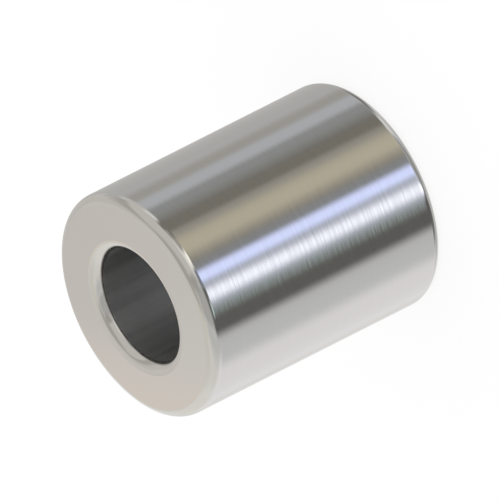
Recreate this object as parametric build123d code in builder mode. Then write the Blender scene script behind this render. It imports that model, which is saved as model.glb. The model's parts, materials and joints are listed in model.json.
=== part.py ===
"""Plain steel spacer sleeve, turned from bar and bored right through.

The sleeve stands on one end face. Its origin is the centre of that face, and +Z runs up
the bore. All sizes are in millimetres.
"""

import os

from build123d import *

# Driving dimensions
OUTER_DIAMETER = 13.0
BORE_DIAMETER = 6.6
LENGTH = 16.0
OUTER_EDGE_RADIUS = 0.65
BORE_EDGE_RADIUS = 0.65

# Sizes that follow from them
outer_radius = OUTER_DIAMETER / 2
bore_radius = BORE_DIAMETER / 2
wall_thickness = outer_radius - bore_radius
wall_centre_radius = (outer_radius + bore_radius) / 2

with BuildPart() as sleeve:
    # One side of the lengthwise section: the wall of the tube, with its four corners
    # rounded so that each end face runs smoothly into the outside and into the bore.
    with BuildSketch(Plane.XZ) as wall_section:
        with Locations((wall_centre_radius, LENGTH / 2)):
            Rectangle(wall_thickness, LENGTH)
        bore_corners = wall_section.vertices().group_by(Axis.X)[0]
        fillet(bore_corners, BORE_EDGE_RADIUS)
        outer_corners = wall_section.vertices().group_by(Axis.X)[-1]
        fillet(outer_corners, OUTER_EDGE_RADIUS)
    revolve(axis=Axis.Z)

sleeve.part.label = "sleeve"

os.makedirs("parts", exist_ok=True)
export_step(sleeve.part, "parts/sleeve.step")
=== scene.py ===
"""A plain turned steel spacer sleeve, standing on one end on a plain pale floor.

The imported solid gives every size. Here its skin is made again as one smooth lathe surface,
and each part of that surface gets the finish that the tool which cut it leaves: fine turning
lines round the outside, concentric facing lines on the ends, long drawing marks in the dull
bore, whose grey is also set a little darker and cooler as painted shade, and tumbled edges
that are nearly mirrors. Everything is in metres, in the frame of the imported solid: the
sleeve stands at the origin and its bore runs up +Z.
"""

import json
import logging
import math
from dataclasses import dataclass
from enum import Enum, IntEnum
from typing import ClassVar

import bpy
import numpy as np
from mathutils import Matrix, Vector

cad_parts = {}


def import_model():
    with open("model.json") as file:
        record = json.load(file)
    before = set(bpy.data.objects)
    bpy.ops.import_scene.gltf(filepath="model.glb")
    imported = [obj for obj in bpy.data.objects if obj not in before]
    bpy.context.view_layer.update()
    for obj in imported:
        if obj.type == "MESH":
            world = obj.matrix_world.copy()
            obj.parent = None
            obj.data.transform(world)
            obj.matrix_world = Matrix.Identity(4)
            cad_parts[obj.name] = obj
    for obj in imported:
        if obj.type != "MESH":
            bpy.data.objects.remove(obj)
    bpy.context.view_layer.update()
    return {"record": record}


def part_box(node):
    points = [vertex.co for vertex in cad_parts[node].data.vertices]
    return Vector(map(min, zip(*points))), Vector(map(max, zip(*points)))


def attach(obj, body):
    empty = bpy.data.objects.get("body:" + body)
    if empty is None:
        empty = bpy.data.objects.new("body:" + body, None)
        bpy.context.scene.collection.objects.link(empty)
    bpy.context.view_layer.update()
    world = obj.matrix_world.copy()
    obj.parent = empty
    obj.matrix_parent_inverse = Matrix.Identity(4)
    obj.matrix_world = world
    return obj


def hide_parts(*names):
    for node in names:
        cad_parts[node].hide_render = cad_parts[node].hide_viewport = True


MM = 0.001
LOG = logging.getLogger("spacer_sleeve")

Colour = tuple[float, float, float]
Pair = tuple[float, float]
Socket = bpy.types.NodeSocket
Stretch = tuple[np.ndarray, np.ndarray, np.ndarray]


class Zone(IntEnum):
    """The zones of the sleeve's skin, each cut or smoothed in its own way."""

    OUTSIDE = 0
    EDGE = 1
    END = 2
    BORE = 3


class Course(Enum):
    """The way in which a tool's lines run."""

    ROUND = "round a wall"
    FACING = "round a flat end"
    LENGTHWISE = "along a wall"


class Graph:
    """A shader node tree that is written step by step, each step giving a socket."""

    def __init__(self, tree: bpy.types.NodeTree) -> None:
        """Empties the tree.

        Args:
            tree: the node tree of a material or of a world.
        """
        tree.nodes.clear()
        self.tree = tree

    def node(self, kind: str, inputs: dict | None = None, **settings: object) -> bpy.types.Node:
        """Adds one node.

        Args:
            kind: the node's Blender type.
            inputs: socket name or number to a socket that feeds it, or to a plain value.
            settings: the node's own properties.

        Returns:
            The new node.
        """
        made = self.tree.nodes.new(kind)
        for name, value in settings.items():
            setattr(made, name, value)
        for name, value in (inputs or {}).items():
            if isinstance(value, Socket):
                self.tree.links.new(value, made.inputs[name])
            else:
                made.inputs[name].default_value = value
        return made

    def math(self, operation: str, *values: Socket | float) -> Socket:
        """Gives the result of one scalar operation on the values.

        Args:
            operation: the name of the Math node's operation.
            values: one to three sockets or numbers.

        Returns:
            The result's socket.
        """
        return self.node("ShaderNodeMath", dict(enumerate(values)), operation=operation).outputs[0]

    def vector(self, operation: str, *values: Socket | Colour) -> bpy.types.Node:
        """Adds the node of one vector operation on the values.

        Args:
            operation: the name of the Vector Math node's operation.
            values: one or two sockets or triples.

        Returns:
            The new node.
        """
        inputs = dict(enumerate(values))
        return self.node("ShaderNodeVectorMath", inputs, operation=operation)

    def ramp(self, value: Socket, low: float, high: float, start: float, end: float) -> Socket:
        """Carries value smoothly from start, at low, to end, at high, and holds it outside.

        Args:
            value: the number that is followed.
            low: the value at which the result is start.
            high: the value at which the result is end.
            start: the result at low.
            end: the result at high.

        Returns:
            The result's socket.
        """
        inputs = {0: value, 1: low, 2: high, 3: start, 4: end}
        made = self.node("ShaderNodeMapRange", inputs, interpolation_type="SMOOTHSTEP")
        return made.outputs[0]

    def mix(
        self, share: Socket, first: Socket | Colour, second: Socket | Colour, label: str = ""
    ) -> Socket:
        """Mixes two colours.

        Args:
            share: the second colour's share, from 0 to 1.
            first: a colour or its socket.
            second: a colour or its socket.
            label: what the second colour is, to show on the node.

        Returns:
            The mixed colour's socket.
        """
        inputs = {0: share, 6: opaque(first), 7: opaque(second)}
        return self.node("ShaderNodeMix", inputs, data_type="RGBA", label=label).outputs[2]


def opaque(colour: Socket | Colour) -> Socket | tuple[float, float, float, float]:
    """Gives a colour with full alpha, or the socket as it came."""
    return colour if isinstance(colour, Socket) else (*colour, 1.0)


@dataclass(frozen=True)
class SleeveSize:
    """The sleeve's sizes, in metres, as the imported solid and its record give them."""

    outer_radius: float
    bore_radius: float
    length: float
    edge_radius: float

    @classmethod
    def from_frame(cls, record: dict, node: str) -> "SleeveSize":
        """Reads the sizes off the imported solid.

        The rounding of the edges is what is left of the length beyond the bore's straight
        wall, shared by the two ends.

        Args:
            record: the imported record.
            node: the name of the sleeve's node.

        Returns:
            The sizes.
        """
        low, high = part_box(node)
        bore = next(m for m in record["mounts"] if m["kind"] == "bore")["dims"]
        length = high.z - low.z
        return cls(
            outer_radius=max(high.x, high.y),
            bore_radius=bore["r_mm"] * MM,
            length=length,
            edge_radius=(length - bore["length_mm"] * MM) / 2,
        )


@dataclass
class TurnedSleeve:
    """The sleeve's skin: its closed lengthwise section, carried once round the bore.

    The bore's drawn finish runs out over the last steps of its two rounded edges.
    """

    size: SleeveSize
    finishes: dict[Zone, "Finish"]
    name: str = "turned_sleeve"
    steps_around: int = 360
    steps_per_edge: int = 24
    steps_per_end: int = 8
    steps_per_wall: int = 24
    drawn_steps: int = 2

    def section(self) -> Stretch:
        """Works out the section, anticlockwise from the foot of the outside wall.

        A straight stretch is evenly spaced between its ends. A rounded edge is a quarter
        circle: its centre plus the edge radius times the cosine and sine of an angle that
        turns evenly through 90 degrees, which is also the direction it faces.

        Returns:
            Points as (radius, height), the direction that each faces, and the zone of the
            stretch from each point to the next.
        """
        edge, length = self.size.edge_radius, self.size.length
        outer, bore = self.size.outer_radius, self.size.bore_radius
        foot, top = edge, length - edge
        near, far = bore + edge, outer - edge
        stretches = [
            self.straight((outer, foot), (outer, top), (1, 0), Zone.OUTSIDE),
            self.rounded((far, top), 0),
            self.straight((far, length), (near, length), (0, 1), Zone.END),
            self.rounded((near, top), 90, drawn_last=self.drawn_steps),
            self.straight((bore, top), (bore, foot), (-1, 0), Zone.BORE),
            self.rounded((near, foot), 180, drawn_first=self.drawn_steps),
            self.straight((near, 0), (far, 0), (0, -1), Zone.END),
            self.rounded((far, foot), 270),
        ]
        points, facing, zones = (np.concatenate(part) for part in zip(*stretches))
        return points, facing, zones

    def straight(self, start: Pair, end: Pair, faces: Pair, zone: Zone) -> Stretch:
        """Spaces points evenly from start up to, and without, end.

        Args:
            start: (radius, height) of the first point.
            end: (radius, height) of the point after the last.
            faces: the direction that the stretch faces.
            zone: the stretch's zone.

        Returns:
            Points, directions and zones.
        """
        steps = self.steps_per_end if zone is Zone.END else self.steps_per_wall
        share = np.linspace(0, 1, steps, endpoint=False)[:, None]
        points = np.array(start) * (1 - share) + np.array(end) * share
        return points, np.tile(np.array(faces, float), (steps, 1)), np.full(steps, zone)

    def rounded(
        self, centre: Pair, start_deg: float, drawn_first: int = 0, drawn_last: int = 0
    ) -> Stretch:
        """Turns a quarter circle about centre, without its last point.

        Args:
            centre: (radius, height) of the rounding's centre.
            start_deg: the direction of the first point from the centre, in degrees.
            drawn_first: how many of its first steps keep the bore's finish.
            drawn_last: how many of its last steps keep the bore's finish.

        Returns:
            Points, directions and zones.
        """
        steps = self.steps_per_edge
        step = np.arange(steps)
        angle = np.radians(start_deg + 90 * step / steps)
        faces = np.stack([np.cos(angle), np.sin(angle)], axis=1)
        drawn = (step < drawn_first) | (step >= steps - drawn_last)
        zones = np.where(drawn, Zone.BORE, Zone.EDGE)
        return np.array(centre) + self.size.edge_radius * faces, faces, zones

    def carried_round(self, section: np.ndarray) -> np.ndarray:
        """Carries the section's pairs round the bore.

        A pair (out, up) becomes (out cos a, out sin a, up), for each angle a round the bore.

        Args:
            section: one (out, up) pair a row.

        Returns:
            One (x, y, z) a row: every angle of the first pair, then of the next.
        """
        angle = np.linspace(0, 2 * math.pi, self.steps_around, endpoint=False)
        out, up = section[:, :1], section[:, 1:] + 0 * angle
        return np.stack([out * np.cos(angle), out * np.sin(angle), up], axis=2).reshape(-1, 3)

    def faces(self, rows: int) -> np.ndarray:
        """Joins each point to the next one round the bore and the next along the section.

        Args:
            rows: how many points the section has.

        Returns:
            The four corners of a face a row, facing outwards.
        """
        columns = self.steps_around
        row, column = np.meshgrid(np.arange(rows), np.arange(columns), indexing="ij")
        next_row, next_column = (row + 1) % rows, (column + 1) % columns
        corners = [
            row * columns + column,
            row * columns + next_column,
            next_row * columns + next_column,
            next_row * columns + column,
        ]
        return np.stack(corners, axis=2).reshape(-1, 4)

    def build(self) -> bpy.types.Object:
        """Makes the skin as a mesh object and gives it its finishes.

        Returns:
            The new object.
        """
        points, facing, zones = self.section()
        faces = self.faces(len(points))
        mesh = bpy.data.meshes.new(self.name)
        mesh.from_pydata(self.carried_round(points), [], faces)
        mesh.polygons.foreach_set("material_index", np.repeat(zones, self.steps_around))
        mesh.polygons.foreach_set("use_smooth", np.ones(len(faces), bool))
        mesh.normals_split_custom_set_from_vertices(self.carried_round(facing))
        for zone in Zone:
            mesh.materials.append(self.finishes[zone].material())
        mesh.update()
        made = bpy.data.objects.new(self.name, mesh)
        bpy.context.scene.collection.objects.link(made)
        return made


@dataclass(frozen=True)
class Finish:
    """A finish of bare steel: its tone, its gloss and the fine lines that a tool leaves.

    The lines are a noise that changes fast across them and slowly along them. From the low
    level of that noise to its high level the steel grows duller and lighter, by the two
    spreads. A crown is the faint dome of an end face, as the radius of its curve, and it runs
    on over the rounded edges.
    """

    name: str
    tone: Colour
    roughness: float
    roughness_spread: float
    line_width: float
    line_length: float
    line_depth: float
    course: Course = Course.ROUND
    tone_spread: float = 0.0
    crown_radius: float = 0.0
    low_level: ClassVar[float] = 0.3
    high_level: ClassVar[float] = 0.7
    noise_detail: ClassVar[float] = 3.0
    noise_roughness: ClassVar[float] = 0.55

    def material(self) -> bpy.types.Material:
        """Makes the finish as a material.

        Returns:
            The new material.
        """
        made = bpy.data.materials.new(self.name)
        made.use_nodes = True
        graph = Graph(made.node_tree)
        place = graph.node("ShaderNodeTexCoord").outputs["Object"]
        lines = self.lines(graph, place)
        high = graph.ramp(lines, self.low_level, self.high_level, 0.0, 1.0)
        bump = {"Height": lines, "Distance": self.line_depth, "Strength": 1.0}
        if self.crown_radius:
            crown = {"Height": self.crown(graph, place), "Distance": 1.0, "Strength": 1.0}
            bump["Normal"] = graph.node("ShaderNodeBump", crown).outputs[0]
        inputs = {
            "Base Color": opaque(self.tone),
            "Metallic": 1.0,
            "Roughness": graph.math(
                "MULTIPLY_ADD",
                high,
                2 * self.roughness_spread,
                self.roughness - self.roughness_spread,
            ),
            "Normal": graph.node("ShaderNodeBump", bump).outputs[0],
        }
        if self.tone_spread:
            darker, lighter = self.scaled(1 - self.tone_spread), self.scaled(1 + self.tone_spread)
            inputs["Base Color"] = graph.mix(high, darker, lighter)
        steel = graph.node("ShaderNodeBsdfPrincipled", inputs)
        graph.node("ShaderNodeOutputMaterial", {"Surface": steel.outputs[0]})
        return made

    def scaled(self, share: float) -> Colour:
        """Gives the tone, made lighter or darker."""
        return tuple(share * channel for channel in self.tone)

    def crown(self, graph: Graph, place: Socket) -> Socket:
        """Makes the dome of an end face.

        Its height falls with the square of the distance from the bore's axis, divided by
        twice the radius of the dome's curve.

        Args:
            graph: the material's nodes.
            place: the point's place on the object.

        Returns:
            The height, in metres.
        """
        flat = graph.vector("MULTIPLY", place, (1.0, 1.0, 0.0)).outputs["Vector"]
        square = graph.vector("DOT_PRODUCT", flat, flat).outputs["Value"]
        return graph.math("DIVIDE", square, -2 * self.crown_radius)

    def lines(self, graph: Graph, place: Socket) -> Socket:
        """Makes the pattern of the tool's lines.

        Args:
            graph: the material's nodes.
            place: the point's place on the object.

        Returns:
            The lines' height, from 0 to 1.
        """
        x, y, z = graph.node("ShaderNodeSeparateXYZ", {0: place}).outputs
        aside, up = self.line_length, self.line_width
        if self.course is Course.LENGTHWISE:
            aside, up = self.line_width, self.line_length
        if self.course is Course.FACING:
            flat = graph.vector("MULTIPLY", place, (1.0, 1.0, 0.0)).outputs["Vector"]
            z = graph.vector("LENGTH", flat).outputs["Value"]
        stretched = graph.node(
            "ShaderNodeCombineXYZ",
            {
                0: graph.math("DIVIDE", x, aside),
                1: graph.math("DIVIDE", y, aside),
                2: graph.math("DIVIDE", z, up),
            },
        )
        noise = graph.node(
            "ShaderNodeTexNoise",
            {
                "Vector": stretched.outputs[0],
                "Scale": 1.0,
                "Detail": self.noise_detail,
                "Roughness": self.noise_roughness,
            },
        )
        return noise.outputs[0]


@dataclass(frozen=True)
class StudioCard:
    """A card or a lamp of the studio, as the sleeve sees it, with soft borders.

    Directions are in degrees: azimuth anticlockwise from +X, elevation above the horizon.
    A tone of 1 is as bright as the white backdrop. A border fades over its softness to each
    side. A leaning card moves by its lean in azimuth with each degree of elevation, and
    stands at its own azimuth at the level of the pivot.
    """

    name: str
    azimuth: Pair
    elevation: Pair
    tone: Colour
    soft_sides: float = 3.0
    soft_ends: float = 3.0
    share: float = 1.0
    lean: float = 0.0
    pivot: ClassVar[float] = -15.0

    def mask(self, graph: Graph, azimuth: Socket, elevation: Socket) -> Socket:
        """Gives how much of the card a direction meets.

        Args:
            graph: the world's nodes.
            azimuth: the direction's azimuth, in degrees.
            elevation: the direction's elevation, in degrees.

        Returns:
            From 0, clear of the card, to its share, well inside it.
        """
        if self.lean:
            rise = graph.math("SUBTRACT", elevation, self.pivot)
            azimuth = graph.math("SUBTRACT", azimuth, graph.math("MULTIPLY", rise, self.lean))
        middle = sum(self.azimuth) / 2
        half = (self.azimuth[1] - self.azimuth[0]) / 2
        offset = graph.math("WRAP", graph.math("SUBTRACT", azimuth, middle), 180.0, -180.0)
        aside = graph.math("ABSOLUTE", offset)
        sides = graph.ramp(aside, half - self.soft_sides, half + self.soft_sides, self.share, 0.0)
        low, high = self.elevation
        foot = graph.ramp(elevation, low - self.soft_ends, low + self.soft_ends, 0.0, 1.0)
        head = graph.ramp(elevation, high - self.soft_ends, high + self.soft_ends, 1.0, 0.0)
        return graph.math("MULTIPLY", sides, graph.math("MULTIPLY", foot, head))


def grey(level: float, warmth: float = 0.0) -> Colour:
    """Gives a grey of that level, made warmer or, below zero, cooler by a share."""
    return (level * (1 + warmth), level, level * (1 - 2 * warmth))


@dataclass
class Studio:
    """A white sweep with soft cards round it, a pale floor and the camera.

    The camera's angles are in degrees, and frame_widths is how many sleeves, side by side,
    would fill its view. The floor's white is how bright it looks, where the backdrop is 1.
    """

    size: SleeveSize
    cards: list[StudioCard]
    camera_elevation: float = 30.66
    camera_roll: float = -116.78
    frame_widths: float = 2.0516
    camera_distance: float = 300 * MM
    floor_radius: float = 250 * MM
    floor_corners: int = 64
    floor_albedo: float = 0.15
    floor_white: float = 1.01

    def build_world(self) -> None:
        """Makes the light: plain white, and in it the cards, which only metal shows."""
        world = bpy.data.worlds.new("white_studio")
        world.use_nodes = True
        world.cycles.sampling_method = "NONE"
        graph = Graph(world.node_tree)
        direction = graph.node("ShaderNodeTexCoord").outputs["Generated"]
        x, y, z = graph.node("ShaderNodeSeparateXYZ", {0: direction}).outputs
        azimuth = graph.math("DEGREES", graph.math("ARCTAN2", y, x))
        elevation = graph.math("DEGREES", graph.math("ARCSINE", z))
        colour: Socket | Colour = (1.0, 1.0, 1.0)
        for card in self.cards:
            share = card.mask(graph, azimuth, elevation)
            colour = graph.mix(share, colour, card.tone, label=card.name)
        ray = graph.node("ShaderNodeLightPath").outputs
        shown = graph.mix(ray["Is Glossy Ray"], (1.0, 1.0, 1.0), colour)
        light = graph.node("ShaderNodeBackground", {"Color": shown, "Strength": 1.0})
        graph.node("ShaderNodeOutputWorld", {"Surface": light.outputs[0]})
        bpy.context.scene.world = world

    def build_floor(self) -> bpy.types.Object:
        """Makes the floor, a round sheet at height zero that keeps the sleeve's shadow.

        Its glow makes up what its paper lacks of full white. The steel mirrors the studio's
        low cards in the floor's place.

        Returns:
            The floor.
        """
        angle = np.linspace(0, 2 * math.pi, self.floor_corners, endpoint=False)
        rim = self.floor_radius * np.stack([np.cos(angle), np.sin(angle), 0 * angle], axis=1)
        mesh = bpy.data.meshes.new("floor")
        mesh.from_pydata(rim, [], [np.arange(len(angle))])
        material = bpy.data.materials.new("white_paper")
        material.use_nodes = True
        graph = Graph(material.node_tree)
        ray = graph.node("ShaderNodeLightPath").outputs
        seen = graph.math(
            "MAXIMUM",
            ray["Is Camera Ray"],
            graph.math("MAXIMUM", ray["Is Glossy Ray"], ray["Is Transmission Ray"]),
        )
        paper = graph.node("ShaderNodeBsdfDiffuse", {"Color": (*grey(self.floor_albedo), 1.0)})
        glow = graph.node(
            "ShaderNodeEmission",
            {
                "Color": (1.0, 1.0, 1.0, 1.0),
                "Strength": graph.math("MULTIPLY", seen, self.floor_white - self.floor_albedo),
            },
        )
        both = graph.node("ShaderNodeAddShader", {0: paper.outputs[0], 1: glow.outputs[0]})
        graph.node("ShaderNodeOutputMaterial", {"Surface": both.outputs[0]})
        mesh.materials.append(material)
        floor = bpy.data.objects.new("floor", mesh)
        floor.visible_glossy = False
        bpy.context.scene.collection.objects.link(floor)
        return floor

    def build_camera(self) -> bpy.types.Object:
        """Makes the camera, which looks at the sleeve's middle from above one end.

        Its view has no perspective. Its right and up directions are the level camera's,
        turned by the roll: cos(roll) times one plus or minus sin(roll) times the other.

        Returns:
            The camera.
        """
        rise, roll = math.radians(self.camera_elevation), math.radians(self.camera_roll)
        back = np.array([0, -math.cos(rise), math.sin(rise)])
        level_right = np.array([1.0, 0.0, 0.0])
        level_up = np.cross(back, level_right)
        right = math.cos(roll) * level_right + math.sin(roll) * level_up
        up = math.cos(roll) * level_up - math.sin(roll) * level_right
        place = np.array([0, 0, self.size.length / 2]) + self.camera_distance * back
        matrix = np.eye(4)
        matrix[:3] = np.stack([right, up, back, place], axis=1)
        lens = bpy.data.cameras.new("camera")
        lens.type = "ORTHO"
        lens.ortho_scale = self.frame_widths * 2 * self.size.outer_radius
        lens.clip_start = MM
        camera = bpy.data.objects.new("camera", lens)
        camera.matrix_world = matrix.T.tolist()
        bpy.context.scene.collection.objects.link(camera)
        bpy.context.scene.camera = camera
        return camera


FINISHES = {
    Zone.OUTSIDE: Finish(
        "turned_steel",
        tone=(0.64, 0.635, 0.62),
        roughness=0.10,
        roughness_spread=0.02,
        line_width=0.22 * MM,
        line_length=5 * MM,
        line_depth=0.0025 * MM,
        tone_spread=0.005,
    ),
    Zone.EDGE: Finish(
        "polished_edge",
        tone=(0.66, 0.655, 0.638),
        roughness=0.05,
        roughness_spread=0.01,
        line_width=0.1 * MM,
        line_length=2 * MM,
        line_depth=0.00002 * MM,
        crown_radius=108 * MM,
    ),
    Zone.END: Finish(
        "faced_steel",
        tone=(0.672, 0.667, 0.651),
        roughness=0.08,
        roughness_spread=0.02,
        line_width=0.1 * MM,
        line_length=2 * MM,
        line_depth=0.0001 * MM,
        course=Course.FACING,
        crown_radius=108 * MM,
    ),
    # The bore's drawing lines and roughness are its own finish; its grey is also set a little darker
    # and cooler than the outside's, as painted shade inside the bore.
    Zone.BORE: Finish(
        "drawn_steel_painted_shade",
        tone=grey(0.62, -0.003),
        roughness=0.39,
        roughness_spread=0.03,
        line_width=0.5 * MM,
        line_length=20 * MM,
        line_depth=0.0005 * MM,
        course=Course.LENGTHWISE,
        tone_spread=0.07,
    ),
}

CARDS = [
    # The room above and round the sweep, and the grey floor of the room far below.
    StudioCard("ceiling", (-10, 370), (33, 200), grey(0.765, 0.035), soft_ends=24),
    StudioCard("zenith", (-10, 370), (80, 200), grey(0.63, 0.03), soft_ends=14),
    StudioCard("dark gallery", (195, 372), (68, 200), grey(0.46, 0.03), 24, 10, 0.9),
    StudioCard("room floor", (-10, 370), (-200, -54), grey(0.64), soft_ends=18),
    StudioCard("pale side", (106, 146), (-10, 34), (0.93, 0.915, 0.855), 8, 8),
    StudioCard("side sheet", (92, 103), (1, 60), (0.80, 0.775, 0.745), 9, 9),
    StudioCard("back right wall", (152, 200), (-8, 60), (0.86, 0.845, 0.80), 18, 12),
    StudioCard("left wall", (18, 92), (-50, 60), (0.748, 0.707, 0.677), 3.5, 14),
    StudioCard("far left wall", (8, 58), (-50, 61), (0.70, 0.687, 0.648), 4, 14),
    StudioCard("left wall middle", (50, 75), (-18, 18), (0.69, 0.66, 0.63), 5, 7),
    StudioCard("left sheet", (54, 78.5), (22, 72), (0.775, 0.742, 0.706), 4, 7),
    StudioCard("left wall end", (10, 30), (-14, 61), (0.56, 0.54, 0.505), 9, 9),
    StudioCard("sheet joint", (77, 91), (38, 64), (0.79, 0.757, 0.722), 5, 8),
    StudioCard("cream strip", (77.9, 86), (16, 40), (0.905, 0.808, 0.72), 2.6, 6, lean=0.34),
    StudioCard("left wall foot", (18, 86.5), (-45, -16), grey(0.562, 0.01), 9, 8),
    StudioCard("cream wing", (95, 119), (-60, -9), grey(0.81, 0.01), 12, 9),
    StudioCard("rosy paper", (124, 180), (-52, -16), (0.99, 0.965, 0.985), 8, 8),
    StudioCard("rosy paper foot", (124, 176), (-52, -38), (0.87, 0.855, 0.86), 8, 5),
    StudioCard("right wall", (188, 222), (-64, 58), grey(0.65, 0.005), 16, 14, 0.95),
    StudioCard("right wall foot", (146, 200), (-62, -45), grey(0.56), 12, 6),
    StudioCard("right wall corner", (175, 200), (-48, -28), grey(0.705, -0.01), 10, 5),
    StudioCard("window frame", (-98, 21), (-40, 75), grey(0.50, 0.03), 5, 5),
    StudioCard("window", (-86, 9), (-18, 58), grey(0.68, 0.025), 5, 9),
    StudioCard("frame foot", (25, 37), (-40, 2), grey(0.57), 4, 6, 0.9),
    StudioCard("grey side", (219, 264), (-6, 62), grey(0.53, 0.01), 7, 8),
    StudioCard("grey side edge", (255, 272), (28, 66), grey(0.46, 0.03), 7, 7),
    StudioCard("left stand", (-14, 47), (-56, -40), grey(0.25, 0.01), 9, 5),
    StudioCard("right stand", (184, 230), (-65, -39), grey(0.20), 9, 6),
    StudioCard("low reflector", (320, 353), (-65, -51.5), grey(0.86, 0.01), 9, 6),
    # In front of the sleeve and low down: flags, lamps and tinted cards.
    StudioCard("pale rise", (268, 306), (-6, 14), grey(0.88, 0.015), 12, 8),
    StudioCard("first flag", (212, 262), (-65, 0), grey(0.15, 0.02), 6.5, 9, lean=0.2),
    StudioCard("slate card", (259, 277), (-47, -1), (0.255, 0.28, 0.32), 4, 8),
    StudioCard("khaki card", (296, 316), (-40, 0), grey(0.43, 0.05), 5, 7),
    StudioCard("brown card", (311, 333), (-38, 5), grey(0.375, 0.05), 4, 7),
    StudioCard("grey card", (334.6, 357), (-44, -23), (0.365, 0.375, 0.375), 7, 7),
    StudioCard("second flag", (312, 336), (-27.5, -15), grey(0.205, 0.04), 4, 4),
    StudioCard("flag foot", (325, 339), (-38, -28), grey(0.225, 0.05), 8, 3),
    StudioCard("post", (321, 330), (-38, 4), grey(0.235, 0.07), 3, 6),
    StudioCard("pale strip", (334, 351), (-17, -3), grey(0.90, 0.01), 4, 6),
    StudioCard("pale gap", (8, 21), (-19, -2), grey(0.71, 0.01), 5, 4),
    StudioCard("window foot", (-10, 7), (-26.5, -14), grey(0.62, 0.01), 5, 4),
    StudioCard("cool strip", (-5, 12), (-37, -27), (0.585, 0.605, 0.64), 4, 4),
    StudioCard("warm strip", (11, 25.7), (-40, -27), grey(0.455, 0.03), 6, 5),
    StudioCard("warm window", (280, 293), (-14, 6), (1.10, 1.06, 0.98), 5, 5),
    StudioCard("warm lamp", (281.5, 294), (-25.5, -10), (1.44, 1.39, 1.28), 5, 3.5, lean=-0.6),
    StudioCard("teal window", (229.6, 246), (-29.5, -16), (0.64, 0.77, 0.76), 4.5, 4),
    StudioCard("key lamp glow", (242, 255), (-54, -22), grey(0.46, -0.02), 5, 8),
    StudioCard("brown gap", (280, 296), (-45, -27), (0.33, 0.31, 0.274), 4, 4),
    StudioCard("grey gap", (272, 283.5), (-45, -27), (0.315, 0.325, 0.338), 3.5, 4),
    StudioCard("low card", (252, 313), (-60, -41), grey(0.47, 0.01), 5, 4),
    StudioCard("low corner", (222, 312), (-84, -58), grey(0.36), 9, 7),
    StudioCard("beige card", (290.9, 312), (-40, -28), (0.65, 0.60, 0.455), 9, 3),
    StudioCard("cool fill", (238, 264), (-50, -29.5), (0.70, 0.74, 0.87), 6, 2),
    StudioCard("key lamp", (247, 258), (-56, -29.5), (1.60, 1.65, 1.85), 4.5, 2, lean=0.2),
    StudioCard("lavender lamp", (263, 274), (-41, -25), (1.08, 1.18, 1.70), 4, 8),
]


def main() -> None:
    """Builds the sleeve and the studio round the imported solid."""
    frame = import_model()
    size = SleeveSize.from_frame(frame["record"], "sleeve")
    sleeve = TurnedSleeve(size, FINISHES).build()
    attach(sleeve, "root")
    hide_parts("sleeve")
    LOG.info("%s: %d faces", sleeve.name, len(sleeve.data.polygons))
    studio = Studio(size, CARDS)
    studio.build_world()
    floor = studio.build_floor()
    LOG.info("%s: %.2f m across, with %d cards round it", floor.name, floor.dimensions.x, len(CARDS))
    camera = studio.build_camera()
    LOG.info("%s: a view %.1f mm wide", camera.name, camera.data.ortho_scale / MM)
    bpy.context.scene.view_settings.view_transform = "Standard"


if __name__ == "__main__":
    logging.basicConfig(level=logging.INFO)
    main()
